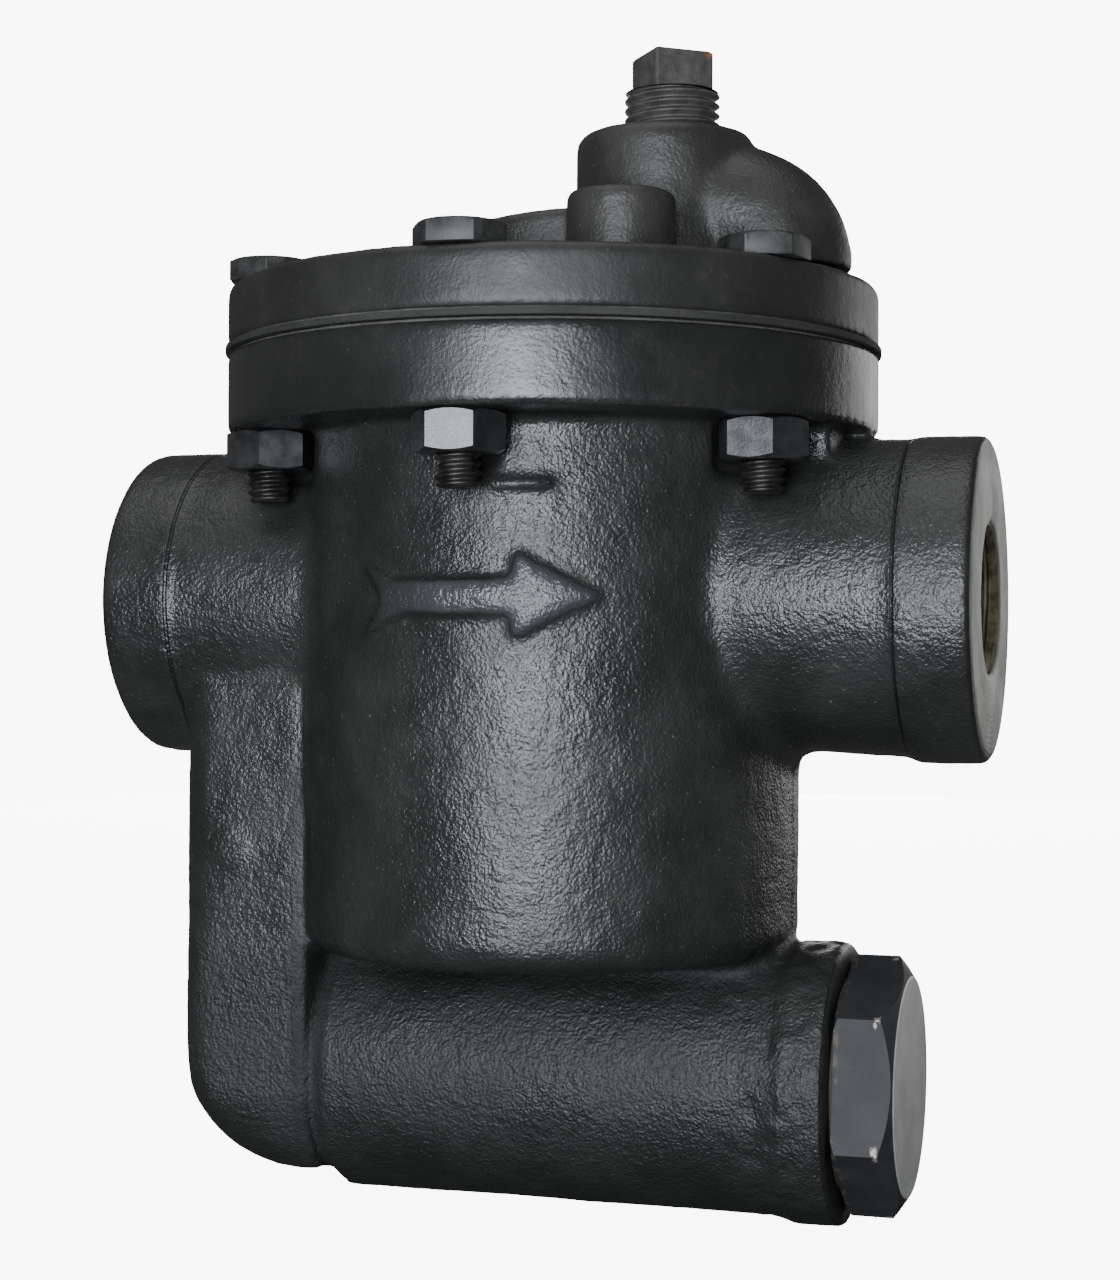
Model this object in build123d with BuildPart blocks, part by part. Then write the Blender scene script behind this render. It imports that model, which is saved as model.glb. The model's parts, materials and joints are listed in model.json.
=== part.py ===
from build123d import *
from math import cos, radians, sin, sqrt
import os

# Inverted-bucket steam trap with an integral strainer. Millimetres, +Z up.
# Origin: centre of the inlet port's face, on the pipe centre line; +X is downstream.

# --- driving dimensions --------------------------------------------------
face_to_face = 127.0
barrel_offset = -0.9
axis_x = face_to_face / 2 + barrel_offset

flange_radius = 47.8
flange_bottom_z = 24.0
flange_top_z = 35.7
gasket_thickness = 0.8
plug_gasket_thickness = 0.5
gasket_radius = 48.2
cap_top_z = 45.5

bolt_circle_radius = 41.9
bolt_count = 6
bolt_radius = 3.1
bolt_hole_radius = 3.5
bolt_end_z = 13.9
hex_across_flats = 11.1
head_height = 3.2
nut_height = 5.6
spot_face_radius = 7.0
hex_chamfer = 0.55
bolt_end_chamfer = 0.7
head_turns = (6.6, 18.2, 8.0, 25.0, 47.0, 48.2)
nut_turns = (6.6, 53.2, 8.0, 25.0, 47.0, 40.2)

barrel_radius = 36.4
barrel_bottom_z = -51.0
barrel_edge_round = 4.2
chamber_radius = 31.0
chamber_floor_z = -46.0

port_radius = 22.95
port_edge_round = 1.2
neck_end_radius = 22.4
neck_end_rise = 0.2
neck_root_radius = 22.0
neck_root_rise = 1.0
neck_root_reach = 24.0
collar_length = 10.5
thread_radius = 10.5
thread_depth = 14.0
passage_radius = 8.0
cast_fillet = 3.5
strainer_seam_fillet = 1.5
arrow_relief = 1.4
ledge_x = axis_x + 6.7
ledge_z = 14.8
ledge_length = 8.8
ledge_thickness = 0.9
ledge_relief = 0.5
mark_z = -36.4
mark_radius = 2.6
mark_relief = 0.4
web_reach = 44.0
web_half_width = 13.0
flange_edge_round = 0.8
cap_edge_round = 1.7
boss_edge_round = 1.2

leg_top_z = -12.0
leg_outer_x = axis_x - 51.7
leg_inner_x = axis_x - 30.5
leg_half_depth = 19.6
leg_bottom_z = -83.6
leg_corner_radius = 16.6
leg_edge_round = 5.5
leg_inner_round = 2.0
leg_passage_x = axis_x - 43.0
leg_passage_radius = 7.5
mark_x = leg_passage_x

strainer_z = -68.8
strainer_radius = 19.0
strainer_start_x = axis_x - 36.0
strainer_collar_radius = 20.0
strainer_collar_start_x = axis_x + 33.6
strainer_collar_rise = 4.5
strainer_collar_end_x = axis_x + 44.4
strainer_collar_round = 1.4
strainer_bore_radius = 14.6
strainer_thread_radius = 13.6
strainer_thread_depth = 12.0
screen_radius = 12.0
screen_seat_x = axis_x - 27.0
screen_seat_depth = 4.0
tube_radius = 6.0
tube_wall = 1.4
tube_length = 55.0
tube_foot_depth = 7.0

valve_x = axis_x + 18.0
plug_boss_x = axis_x + 17.0
plug_boss_radius = 13.0
plug_boss_top_z = 67.9
plug_boss_round = 2.3
front_boss_x = axis_x + 16.5
front_boss_radius = 7.6
front_boss_y = -22.0
front_boss_top_z = 55.6
pad_x = axis_x + 2.0
pad_radius = 21.0
pad_mid_z = 54.0
pad_slope = 0.09
pad_edge_round = 1.5
pocket_x = axis_x - 8.0
pocket_radius = 10.0
pocket_depth = 9.2
elbow_axis_x = axis_x + 26.0
elbow_axis_z = 47.3
elbow_outer_radius = 18.6
elbow_tube_radius = 10.0
slot_width = 6.5
slot_length = 16.0
slot_x = axis_x + 37.75
elbow_bore_radius = 5.4
elbow_bore_offset = 8.6
riser_radius = 4.6
seat_thread_radius = 5.5
seat_thread_top_z = 44.9
plug_thread_low_z = 58.0
plug_thread_radius = 6.8
plug_foot_z = 61.5
plug_shoulder_z = 74.0
plug_top_z = 79.7
square_head = 9.2
square_turn = 38.0

bucket_radius = 26.0
bucket_wall = 1.0
bucket_foot_z = -45.7
bucket_top_z = 13.6
bucket_travel = 6.0
vent_x = axis_x - 14.0
vent_radius = 1.1
rivet_x = axis_x + 4.6
rivet_radius = 1.2
rivet_head_radius = 2.0
rivet_head_height = 0.8
weight_height = 6.0
weight_wall = 2.2
lever_rad_per_mm = 0.04
lever_half_width = 4.0
lever_thickness = 1.6
lever_length = 28.4
lever_lip_start = 27.3
lever_lip_height = 2.4
eye_radius = 2.6
eye_half_length = 7.3
pin_radius = 1.0
pin_clearance = 0.05
bracket_screw_x = axis_x + 5.6
screw_radius = 1.5
screw_depth = 7.0
bracket_thickness = 1.5
cheek_gap_half = 7.8
seat_washer_thickness = 0.5
seat_hex_flats = 15.0
seat_hex_height = 3.5
seat_tip_height = 0.6
seat_tip_radius = 3.6
orifice_radius = 1.6
ball_radius = 3.2
ball_gap = 0.1
ball_height = 3.5
pivot_offset = 7.5
clip_thickness = 1.2
clip_half_width = 7.0
clip_window_height = 3.2

strainer_plug_flats = 31.75
strainer_plug_turn = 21.7
strainer_plug_height = 8.8
strainer_plug_face_radius = 15.3
strainer_plug_chamfer = 2.0
strainer_plug_crown = 0.4
plug_recess_depth = 8.0
screen_wall = 0.6
screen_rows = 6
screen_pitch = 4.4
screen_holes = 12
screen_hole_radius = 1.1
screen_ring_length = 3.0
screen_ring_wall = 1.0

# --- sizes that follow from them -----------------------------------------
cap_bottom_z = flange_top_z + gasket_thickness
cap_thickness = cap_top_z - cap_bottom_z
hex_corner_radius = hex_across_flats / 2 / cos(radians(30))
lever_tilt = bucket_travel * lever_rad_per_mm
seat_top_z = cap_bottom_z - bracket_thickness - seat_washer_thickness
seat_tip_z = seat_top_z - seat_hex_height - seat_tip_height
ball_closed_z = seat_tip_z - sqrt(ball_radius**2 - orifice_radius**2) - ball_gap
pivot_x = valve_x + pivot_offset
pivot_z = ball_closed_z - ball_height

os.makedirs("parts", exist_ok=True)


def hand_over(piece, label):
    """Name a finished piece and write its STEP file."""
    piece.part.label = label
    export_step(piece.part, f"parts/{label}.step")


def bolt_placement(index, z, hex_turn):
    """The place of bolt number index at height z, with its hexagon turned by hex_turn degrees."""
    around = radians(-90 + index * 360 / bolt_count)
    x = axis_x + bolt_circle_radius * cos(around)
    y = bolt_circle_radius * sin(around)
    return Location((x, y, z), (0, 0, hex_turn))


# --- trap body: one iron casting -----------------------------------------
front = Plane(origin=(axis_x, 0, 0), x_dir=(1, 0, 0), z_dir=(0, -1, 0))
strainer_axis = Axis((0, 0, strainer_z), (1, 0, 0))

with BuildPart() as flow_arrow:
    with BuildSketch(front.offset(barrel_radius + 3)):
        with BuildLine():
            Polyline(
                (-17.0, 4.6),
                (-11.8, 2.1),
                (5.8, 2.2),
                (6.2, 5.6),
                (16.9, -0.2),
                (6.0, -5.6),
                (5.6, -2.5),
                (-9.5, -2.5),
                (-13.0, -3.6),
                (-17.2, -5.9),
                (-13.6, -0.5),
                close=True,
            )
        make_face()
    extrude(amount=-8)
    with BuildSketch(Plane.XY.offset(-20)):
        with Locations((axis_x, 0)):
            Circle(barrel_radius + arrow_relief)
    extrude(amount=40, mode=Mode.INTERSECT)

# slab-sided leg that takes the flow down from the inlet to the strainer
with BuildPart() as inlet_leg:
    with BuildSketch(Plane.XZ):
        with BuildLine():
            Polyline(
                (leg_inner_x, leg_top_z),
                (leg_outer_x, leg_top_z),
                (leg_outer_x, leg_bottom_z),
                (leg_inner_x, leg_bottom_z),
                close=True,
            )
        make_face()
        fillet(vertices().group_by(Axis.Y)[0].sort_by(Axis.X)[0], leg_corner_radius)
    extrude(amount=leg_half_depth, both=True)
    long_rims = inlet_leg.edges().filter_by(
        lambda e: abs(abs(e.center().Y) - leg_half_depth) < 0.1
        and e.center().X < leg_inner_x - 0.1
        and e.center().Z < leg_top_z - 0.1
    )
    fillet(long_rims, leg_edge_round)
    inner_rims = inlet_leg.edges().filter_by(Axis.Z).group_by(Axis.X)[-1]
    fillet(inner_rims, leg_inner_round)

with BuildPart() as trap_body:
    # round barrel that holds the bucket
    with BuildSketch(Plane.XY.offset(barrel_bottom_z)):
        with Locations((axis_x, 0)):
            Circle(barrel_radius)
    extrude(amount=flange_bottom_z - barrel_bottom_z)
    fillet(trap_body.edges().filter_by(GeomType.CIRCLE).sort_by(Axis.Z)[0], barrel_edge_round)

    # two necks, a little fuller on top, that flare towards the ports
    for port_x, root_x in (
        (collar_length - 1, axis_x - neck_root_reach),
        (face_to_face - collar_length + 1, axis_x + neck_root_reach),
    ):
        with BuildSketch(Plane.YZ.offset(port_x)):
            with Locations((0, neck_end_rise)):
                Circle(neck_end_radius)
        with BuildSketch(Plane.YZ.offset(root_x)):
            with Locations((0, neck_root_rise)):
                Circle(neck_root_radius)
        loft()
    neck_seams = trap_body.edges().filter_by(
        lambda e: e.geom_type == GeomType.BSPLINE and abs(e.center().X - axis_x) < barrel_radius + 2
    )
    fillet(neck_seams, cast_fillet)
    # collars round the ports
    for collar_x in (0, face_to_face - collar_length):
        with BuildSketch(Plane.YZ.offset(collar_x)):
            Circle(port_radius)
        extrude(amount=collar_length)
    port_rims = trap_body.edges().filter_by(GeomType.CIRCLE).group_by(Axis.X)
    fillet([port_rims[0][0], port_rims[-1][0]], port_edge_round)

    # horizontal barrel across the bottom for the strainer screen, and its plug collar
    with BuildSketch(Plane.YZ.offset(strainer_start_x)):
        with Locations((0, strainer_z)):
            Circle(strainer_radius)
    extrude(amount=strainer_collar_end_x - strainer_start_x)
    fillet(trap_body.edges(Select.NEW).filter_by(GeomType.BSPLINE), strainer_seam_fillet)
    with BuildSketch(Plane.XZ):
        with BuildLine():
            Polyline(
                (strainer_collar_start_x, strainer_z),
                (strainer_collar_start_x, strainer_z + strainer_radius - 1),
                (strainer_collar_start_x + strainer_collar_rise, strainer_z + strainer_collar_radius),
                (strainer_collar_end_x, strainer_z + strainer_collar_radius),
                (strainer_collar_end_x, strainer_z),
                close=True,
            )
        make_face()
        fillet(vertices().sort_by(Axis.Z)[-1], strainer_collar_round)
    revolve(axis=strainer_axis)
    # the leg's foot is shallower than the strainer barrel, so the stub behind it is cut back
    with BuildSketch(Plane.XY.offset(leg_bottom_z)):
        with Locations((leg_inner_x - 5, 0)):
            Rectangle(10, 2 * strainer_radius)
    extrude(amount=-5, mode=Mode.SUBTRACT)
    add(inlet_leg.part)

    # cap flange, and the web that joins it to each neck
    with BuildSketch(Plane.XY.offset(flange_bottom_z)):
        with Locations((axis_x, 0)):
            Circle(flange_radius)
    extrude(amount=flange_top_z - flange_bottom_z)
    flange_rims = trap_body.edges().filter_by(GeomType.CIRCLE).filter_by(
        lambda e: abs(e.radius - flange_radius) < 0.1
    )
    fillet(flange_rims, flange_edge_round)
    with BuildSketch(Plane.XY.offset(neck_root_radius / 2)):
        with Locations((axis_x, 0)):
            Rectangle(2 * web_reach, 2 * web_half_width)
    extrude(amount=flange_bottom_z + 1 - neck_root_radius / 2)
    # spot faces that let the nuts turn beside the barrel
    with BuildSketch(Plane.XY.offset(flange_bottom_z)):
        with Locations((axis_x, 0)):
            with PolarLocations(bolt_circle_radius, bolt_count, start_angle=-90):
                Circle(spot_face_radius)
    extrude(amount=-nut_height - 1.5, mode=Mode.SUBTRACT)

    add(flow_arrow.part)
    # short cast ledge under the front nut
    with BuildSketch(front.offset(barrel_radius - 1)):
        with Locations((ledge_x - axis_x, ledge_z)):
            Rectangle(ledge_length, ledge_thickness)
    extrude(amount=1 + ledge_relief)
    # foundry mark on the leg, a plain raised dot
    with BuildSketch(front.offset(leg_half_depth - 0.5)):
        with Locations((mark_x - axis_x, mark_z)):
            Circle(mark_radius)
    extrude(amount=0.5 + mark_relief)

    # bucket chamber, open at the top
    with BuildSketch(Plane.XY.offset(chamber_floor_z)):
        with Locations((axis_x, 0)):
            Circle(chamber_radius)
    extrude(amount=flange_top_z - chamber_floor_z, mode=Mode.SUBTRACT)
    # port threads and the passages behind them
    with BuildSketch(Plane.YZ):
        Circle(thread_radius)
    extrude(amount=thread_depth, mode=Mode.SUBTRACT)
    with BuildSketch(Plane.YZ.offset(face_to_face)):
        Circle(thread_radius)
    extrude(amount=-thread_depth, mode=Mode.SUBTRACT)
    with BuildSketch(Plane.YZ.offset(thread_depth)):
        Circle(passage_radius)
    extrude(amount=leg_passage_x - thread_depth, mode=Mode.SUBTRACT)
    with BuildSketch(Plane.YZ.offset(slot_x)):
        Circle(passage_radius)
    extrude(amount=face_to_face - thread_depth - slot_x, mode=Mode.SUBTRACT)
    # inlet passage down the leg
    with BuildSketch(Plane.XY.offset(strainer_z)):
        with Locations((leg_passage_x, 0)):
            Circle(leg_passage_radius)
    extrude(amount=-strainer_z, mode=Mode.SUBTRACT)
    # outlet passage down from the cap
    with BuildSketch(Plane.XY):
        with Locations((slot_x, 0)):
            SlotOverall(slot_length, slot_width, rotation=90)
    extrude(amount=flange_top_z, mode=Mode.SUBTRACT)
    # strainer bore: plug thread, screen chamber, screen seat and the way in from the leg
    with BuildSketch(Plane.YZ.offset(strainer_collar_end_x)):
        with Locations((0, strainer_z)):
            Circle(strainer_thread_radius)
    extrude(amount=-strainer_thread_depth, mode=Mode.SUBTRACT)
    with BuildSketch(Plane.YZ.offset(screen_seat_x)):
        with Locations((0, strainer_z)):
            Circle(strainer_bore_radius)
    extrude(
        amount=strainer_collar_end_x - strainer_thread_depth - screen_seat_x,
        mode=Mode.SUBTRACT,
    )
    with BuildSketch(Plane.YZ.offset(screen_seat_x - screen_seat_depth)):
        with Locations((0, strainer_z)):
            Circle(screen_radius + 0.1)
    extrude(amount=screen_seat_depth, mode=Mode.SUBTRACT)
    with BuildSketch(Plane.YZ.offset(leg_passage_x)):
        with Locations((0, strainer_z)):
            Circle(leg_passage_radius)
    extrude(amount=screen_seat_x - leg_passage_x, mode=Mode.SUBTRACT)
    # hole for the inlet tube, from the screen chamber up through the chamber floor
    with BuildSketch(Plane.XY.offset(strainer_z + strainer_bore_radius - 2)):
        with Locations((axis_x, 0)):
            Circle(tube_radius + 0.02)
    extrude(amount=chamber_floor_z - strainer_z, mode=Mode.SUBTRACT)
    # flange bolt holes
    with BuildSketch(Plane.XY.offset(flange_bottom_z)):
        with Locations((axis_x, 0)):
            with PolarLocations(bolt_circle_radius, bolt_count, start_angle=-90):
                Circle(bolt_hole_radius)
    extrude(amount=flange_top_z - flange_bottom_z, mode=Mode.SUBTRACT)
hand_over(trap_body, "trap_body")

# --- cap and its gasket --------------------------------------------------
with BuildPart() as cap_gasket:
    with BuildSketch(Plane.XY.offset(flange_top_z)):
        with Locations((axis_x, 0)):
            Circle(gasket_radius)
            Circle(chamber_radius, mode=Mode.SUBTRACT)
            with PolarLocations(bolt_circle_radius, bolt_count, start_angle=-90):
                Circle(bolt_hole_radius, mode=Mode.SUBTRACT)
        with Locations((slot_x, 0)):
            SlotOverall(slot_length, slot_width, rotation=90, mode=Mode.SUBTRACT)
    extrude(amount=gasket_thickness)
hand_over(cap_gasket, "cap_gasket")

with BuildPart() as cap_pad:
    # low round pad over the bucket, its top sloping up towards the plug boss
    with BuildSketch(Plane.XY.offset(cap_top_z - 1)):
        with Locations((pad_x, 0)):
            Circle(pad_radius)
    extrude(amount=2 * (pad_mid_z - cap_top_z))
    split(
        bisect_by=Plane((axis_x, 0, pad_mid_z), (1, 0, pad_slope), (-pad_slope, 0, 1)),
        keep=Keep.BOTTOM,
    )
    fillet(cap_pad.edges().group_by(Axis.Z)[-1], pad_edge_round)

# small blind boss in front of the plug boss
with BuildPart() as front_boss:
    with BuildSketch(Plane.XY.offset(cap_top_z - 1)):
        with Locations((front_boss_x, front_boss_y)):
            Circle(front_boss_radius)
    extrude(amount=front_boss_top_z - cap_top_z + 1)
    fillet(front_boss.edges().sort_by(Axis.Z)[-1], boss_edge_round)

with BuildPart() as cap:
    with BuildSketch(Plane.XY.offset(cap_bottom_z)):
        with Locations((axis_x, 0)):
            Circle(flange_radius)
    extrude(amount=cap_thickness)
    fillet(cap.edges().sort_by(Axis.Z)[-1], cap_edge_round)
    fillet(cap.edges().sort_by(Axis.Z)[0], flange_edge_round)
    add(cap_pad.part)
    # boss for the test plug
    with BuildSketch(Plane.XY.offset(cap_top_z - 1)):
        with Locations((plug_boss_x, 0)):
            Circle(plug_boss_radius)
    extrude(amount=plug_boss_top_z - cap_top_z + 1)
    fillet(cap.edges().sort_by(Axis.Z)[-1], plug_boss_round)
    # outlet elbow: a quarter bend with a round back
    with BuildSketch(Plane.XY.offset(elbow_axis_z)):
        with Locations((elbow_axis_x + elbow_outer_radius - elbow_tube_radius, 0)):
            Circle(elbow_tube_radius)
        with Locations((elbow_axis_x - elbow_tube_radius, 0)):
            Rectangle(2 * elbow_tube_radius, 3 * elbow_tube_radius, mode=Mode.SUBTRACT)
    revolve(axis=Axis((elbow_axis_x, 0, elbow_axis_z), (0, -1, 0)), revolution_arc=90)
    add(front_boss.part)

    # core pocket under the pad
    with BuildSketch(Plane.XY.offset(cap_bottom_z)):
        with Locations((pocket_x, 0)):
            Circle(pocket_radius)
    extrude(amount=pocket_depth, mode=Mode.SUBTRACT)
    # seat thread, riser and test-plug thread, one above the other
    for low_z, high_z, radius in (
        (cap_bottom_z, seat_thread_top_z, seat_thread_radius),
        (seat_thread_top_z, plug_thread_low_z, riser_radius),
        (plug_thread_low_z, plug_boss_top_z, plug_thread_radius),
    ):
        with BuildSketch(Plane.XY.offset(low_z)):
            with Locations((valve_x, 0)):
                Circle(radius)
        extrude(amount=high_z - low_z, mode=Mode.SUBTRACT)
    # outlet passage: across from the riser, round the bend, down through the flange
    with BuildSketch(Plane.YZ.offset(valve_x)):
        with Locations((0, elbow_axis_z + elbow_bore_offset)):
            Circle(elbow_bore_radius)
    extrude(amount=elbow_axis_x - valve_x, mode=Mode.SUBTRACT)
    with BuildSketch(Plane.XY.offset(elbow_axis_z)):
        with Locations((elbow_axis_x + elbow_bore_offset, 0)):
            Circle(elbow_bore_radius)
    revolve(
        axis=Axis((elbow_axis_x, 0, elbow_axis_z), (0, -1, 0)),
        revolution_arc=90,
        mode=Mode.SUBTRACT,
    )
    with BuildSketch(Plane.XY.offset(cap_bottom_z)):
        with Locations((slot_x, 0)):
            SlotOverall(slot_length, slot_width, rotation=90)
    extrude(amount=elbow_axis_z + 1 - cap_bottom_z, mode=Mode.SUBTRACT)
    # bolt holes and the bracket screw's hole
    with BuildSketch(Plane.XY.offset(cap_bottom_z)):
        with Locations((axis_x, 0)):
            with PolarLocations(bolt_circle_radius, bolt_count, start_angle=-90):
                Circle(bolt_hole_radius)
    extrude(amount=cap_thickness, mode=Mode.SUBTRACT)
    with BuildSketch(Plane.XY.offset(cap_bottom_z)):
        with Locations((bracket_screw_x, 0)):
            Circle(screw_radius)
    extrude(amount=screw_depth, mode=Mode.SUBTRACT)
hand_over(cap, "cap")


def hex_blank(height, bore=0.0, chamfer_foot=False):
    """A hexagon with turned corners, standing on z = 0."""
    top_radius = hex_corner_radius - 2 * hex_chamfer
    foot_radius = top_radius if chamfer_foot else hex_corner_radius
    foot_rise = hex_chamfer if chamfer_foot else 0.01
    with BuildPart() as blank:
        with BuildSketch():
            RegularPolygon(hex_corner_radius, 6)
        extrude(amount=height)
        with BuildSketch(Plane.XZ):
            with BuildLine():
                Polyline(
                    (0, 0),
                    (foot_radius, 0),
                    (hex_corner_radius, foot_rise),
                    (hex_corner_radius, height - hex_chamfer),
                    (top_radius, height),
                    (0, height),
                    close=True,
                )
            make_face()
        revolve(axis=Axis.Z, mode=Mode.INTERSECT)
        if bore:
            with BuildSketch():
                Circle(bore)
            extrude(amount=height, mode=Mode.SUBTRACT)
    return blank.part


# --- flange fasteners ----------------------------------------------------
bolt_head = hex_blank(head_height)
nut = hex_blank(nut_height, bolt_radius + 0.05, chamfer_foot=True)

with BuildPart() as bolt:
    add(bolt_head)
    with BuildSketch():
        Circle(bolt_radius)
    extrude(amount=-(cap_top_z - bolt_end_z))
    chamfer(bolt.edges().sort_by(Axis.Z)[0], bolt_end_chamfer)

with BuildPart() as cap_bolts:
    for index in range(bolt_count):
        with Locations(bolt_placement(index, cap_top_z, head_turns[index])):
            add(bolt.part)
hand_over(cap_bolts, "cap_bolts")

with BuildPart() as cap_nuts:
    for index in range(bolt_count):
        with Locations(bolt_placement(index, flange_bottom_z - nut_height, nut_turns[index])):
            add(nut)
hand_over(cap_nuts, "cap_nuts")

# --- test plug: pipe thread and square head ------------------------------
with BuildPart() as test_plug:
    with BuildSketch(Plane.XZ):
        with BuildLine():
            Polyline(
                (valve_x, plug_foot_z),
                (valve_x + plug_thread_radius - 0.7, plug_foot_z),
                (valve_x + plug_thread_radius - 0.05, plug_foot_z + 1.5),
                (valve_x + plug_thread_radius - 0.05, plug_shoulder_z),
                (valve_x, plug_shoulder_z),
                close=True,
            )
        make_face()
    revolve(axis=Axis((valve_x, 0, 0), (0, 0, 1)))
    with BuildSketch(Plane.XY.offset(plug_shoulder_z)):
        with Locations((valve_x, 0)):
            RectangleRounded(square_head, square_head, 0.6, rotation=square_turn)
    extrude(amount=plug_top_z - plug_shoulder_z)
    chamfer(test_plug.edges().group_by(Axis.Z)[-1], 0.4)
hand_over(test_plug, "test_plug")

# --- strainer: plug, gasket, screen and its end rings ---------------------
plug_seat_x = strainer_collar_end_x + plug_gasket_thickness
plug_face_x = plug_seat_x + strainer_plug_height
plug_rim_x = plug_face_x - strainer_plug_crown
strainer_plug_corner = strainer_plug_flats / 2 / cos(radians(30))

with BuildPart() as strainer_plug:
    with BuildSketch(Plane.YZ.offset(plug_seat_x)):
        with Locations((0, strainer_z)):
            RegularPolygon(strainer_plug_corner, 6, rotation=strainer_plug_turn)
    extrude(amount=strainer_plug_height)
    # turned end: the corners run out to a round face with a slight crown
    with BuildSketch(Plane.XZ):
        with BuildLine():
            Polyline(
                (plug_seat_x, strainer_z),
                (plug_seat_x, strainer_z + strainer_plug_corner - 0.8),
                (plug_seat_x + 0.5, strainer_z + strainer_plug_corner),
                (plug_rim_x - strainer_plug_chamfer, strainer_z + strainer_plug_corner),
                (plug_rim_x, strainer_z + strainer_plug_face_radius),
            )
            RadiusArc(
                (plug_rim_x, strainer_z + strainer_plug_face_radius),
                (plug_face_x, strainer_z),
                (strainer_plug_face_radius**2 + strainer_plug_crown**2) / (2 * strainer_plug_crown),
            )
            Line((plug_face_x, strainer_z), (plug_seat_x, strainer_z))
        make_face()
    revolve(axis=strainer_axis, mode=Mode.INTERSECT)
    with BuildSketch(Plane.YZ.offset(plug_seat_x)):
        with Locations((0, strainer_z)):
            Circle(strainer_thread_radius - 0.05)
    extrude(amount=-strainer_thread_depth)
    # recess that centres the free end of the screen
    with BuildSketch(Plane.YZ.offset(plug_seat_x - strainer_thread_depth)):
        with Locations((0, strainer_z)):
            Circle(screen_radius + 0.1)
    extrude(amount=plug_recess_depth, mode=Mode.SUBTRACT)
hand_over(strainer_plug, "strainer_plug")

with BuildPart() as strainer_plug_gasket:
    with BuildSketch(Plane.YZ.offset(strainer_collar_end_x)):
        with Locations((0, strainer_z)):
            Circle(strainer_plug_flats / 2 - 0.6)
            Circle(strainer_thread_radius + 0.1, mode=Mode.SUBTRACT)
    extrude(amount=plug_gasket_thickness)
hand_over(strainer_plug_gasket, "strainer_plug_gasket")

screen_start_x = screen_seat_x - screen_seat_depth + 0.2
screen_end_x = plug_seat_x - strainer_thread_depth + plug_recess_depth - 0.5

with BuildPart() as strainer_screen:
    with BuildSketch(Plane.YZ.offset(screen_start_x)):
        with Locations((0, strainer_z)):
            Circle(screen_radius)
            Circle(screen_radius - screen_wall, mode=Mode.SUBTRACT)
    extrude(amount=screen_end_x - screen_start_x)
    for row in range(screen_rows):
        across = radians(row * 180 / screen_rows)
        hole_plane = Plane(
            origin=(
                (screen_start_x + screen_end_x) / 2 + (row % 2) * screen_pitch / 2,
                0,
                strainer_z,
            ),
            x_dir=(1, 0, 0),
            z_dir=(0, cos(across), sin(across)),
        )
        with BuildSketch(hole_plane):
            with GridLocations(screen_pitch, 1, screen_holes, 1):
                Circle(screen_hole_radius)
        extrude(amount=screen_radius + 1, both=True, mode=Mode.SUBTRACT)
hand_over(strainer_screen, "strainer_screen")

with BuildPart() as screen_end_rings:
    for ring_x in (screen_start_x, screen_end_x - screen_ring_length):
        with BuildSketch(Plane.YZ.offset(ring_x)):
            with Locations((0, strainer_z)):
                Circle(screen_radius - screen_wall - 0.02)
                Circle(
                    screen_radius - screen_wall - screen_ring_wall,
                    mode=Mode.SUBTRACT,
                )
        extrude(amount=screen_ring_length)
hand_over(screen_end_rings, "screen_end_rings")

# --- inlet tube ----------------------------------------------------------
with BuildPart() as inlet_tube:
    with BuildSketch(Plane.XY.offset(chamber_floor_z - tube_foot_depth)):
        with Locations((axis_x, 0)):
            Circle(tube_radius)
            Circle(tube_radius - tube_wall, mode=Mode.SUBTRACT)
    extrude(amount=tube_length)
    chamfer(inlet_tube.edges().group_by(Axis.Z)[-1].sort_by(SortBy.RADIUS)[-1], 0.6)
hand_over(inlet_tube, "inlet_tube")

# --- valve seat, its washer and the lever bracket -------------------------
with BuildPart() as valve_seat:
    with BuildSketch(Plane.XY.offset(seat_top_z)):
        with Locations((valve_x, 0)):
            RegularPolygon(seat_hex_flats / 2, 6, major_radius=False, rotation=30)
    extrude(amount=-seat_hex_height)
    with BuildSketch(Plane.XY.offset(seat_top_z)):
        with Locations((valve_x, 0)):
            Circle(seat_thread_radius - 0.05)
    extrude(amount=seat_thread_top_z - seat_top_z - 0.4)
    with BuildSketch(Plane.XY.offset(seat_tip_z)):
        with Locations((valve_x, 0)):
            Circle(seat_tip_radius)
    extrude(amount=seat_tip_height, taper=-30)
    with BuildSketch(Plane.XY.offset(seat_tip_z)):
        with Locations((valve_x, 0)):
            Circle(orifice_radius)
    extrude(amount=30, mode=Mode.SUBTRACT)
    with BuildSketch(Plane.XY.offset(seat_top_z + 2)):
        with Locations((valve_x, 0)):
            Circle(2 * orifice_radius)
    extrude(amount=20, mode=Mode.SUBTRACT)
hand_over(valve_seat, "valve_seat")

with BuildPart() as seat_washer:
    with BuildSketch(Plane.XY.offset(seat_top_z)):
        with Locations((valve_x, 0)):
            Circle(seat_hex_flats / 2)
            Circle(seat_thread_radius + 0.1, mode=Mode.SUBTRACT)
    extrude(amount=seat_washer_thickness)
hand_over(seat_washer, "seat_washer")

cheek_front_x = pivot_x - 3.2
bracket_end_x = pivot_x + 3.0
bracket_start_x = bracket_screw_x - 3.4

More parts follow.
